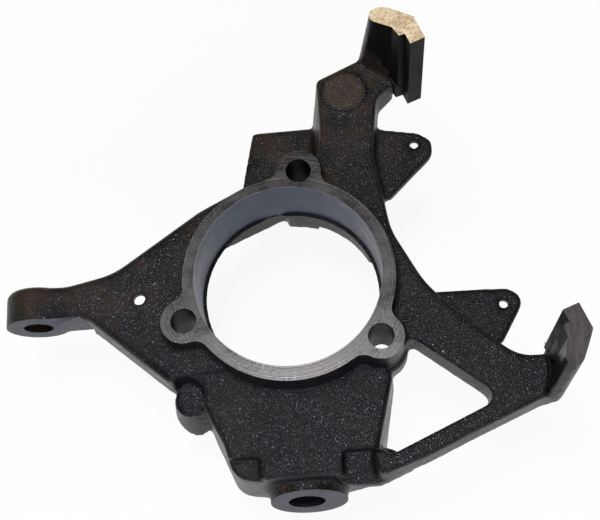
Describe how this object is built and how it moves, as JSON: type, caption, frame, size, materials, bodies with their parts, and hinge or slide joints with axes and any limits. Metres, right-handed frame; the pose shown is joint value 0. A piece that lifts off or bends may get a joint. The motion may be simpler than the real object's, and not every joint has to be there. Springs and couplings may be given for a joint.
{
  "type": "steering knuckle",
  "caption": "Cast front steering knuckle with hub bore, tapered ball-joint seats, steering arm and an open calliper bracket with machined rails.",
  "frame": {"origin": "centre of the hub bore on the machined ring face", "axes": "+Z outboard along the wheel axis, +Y towards the upper ball joint, +X towards the calliper bracket"},
  "size_m": [0.2912, 0.2431, 0.1459],
  "materials": {
    "casting": "rough dark casting with bright machined seats"
  },
  "bodies": {
    "root": {"steering_knuckle": "casting"}
  },
  "joints": []
}
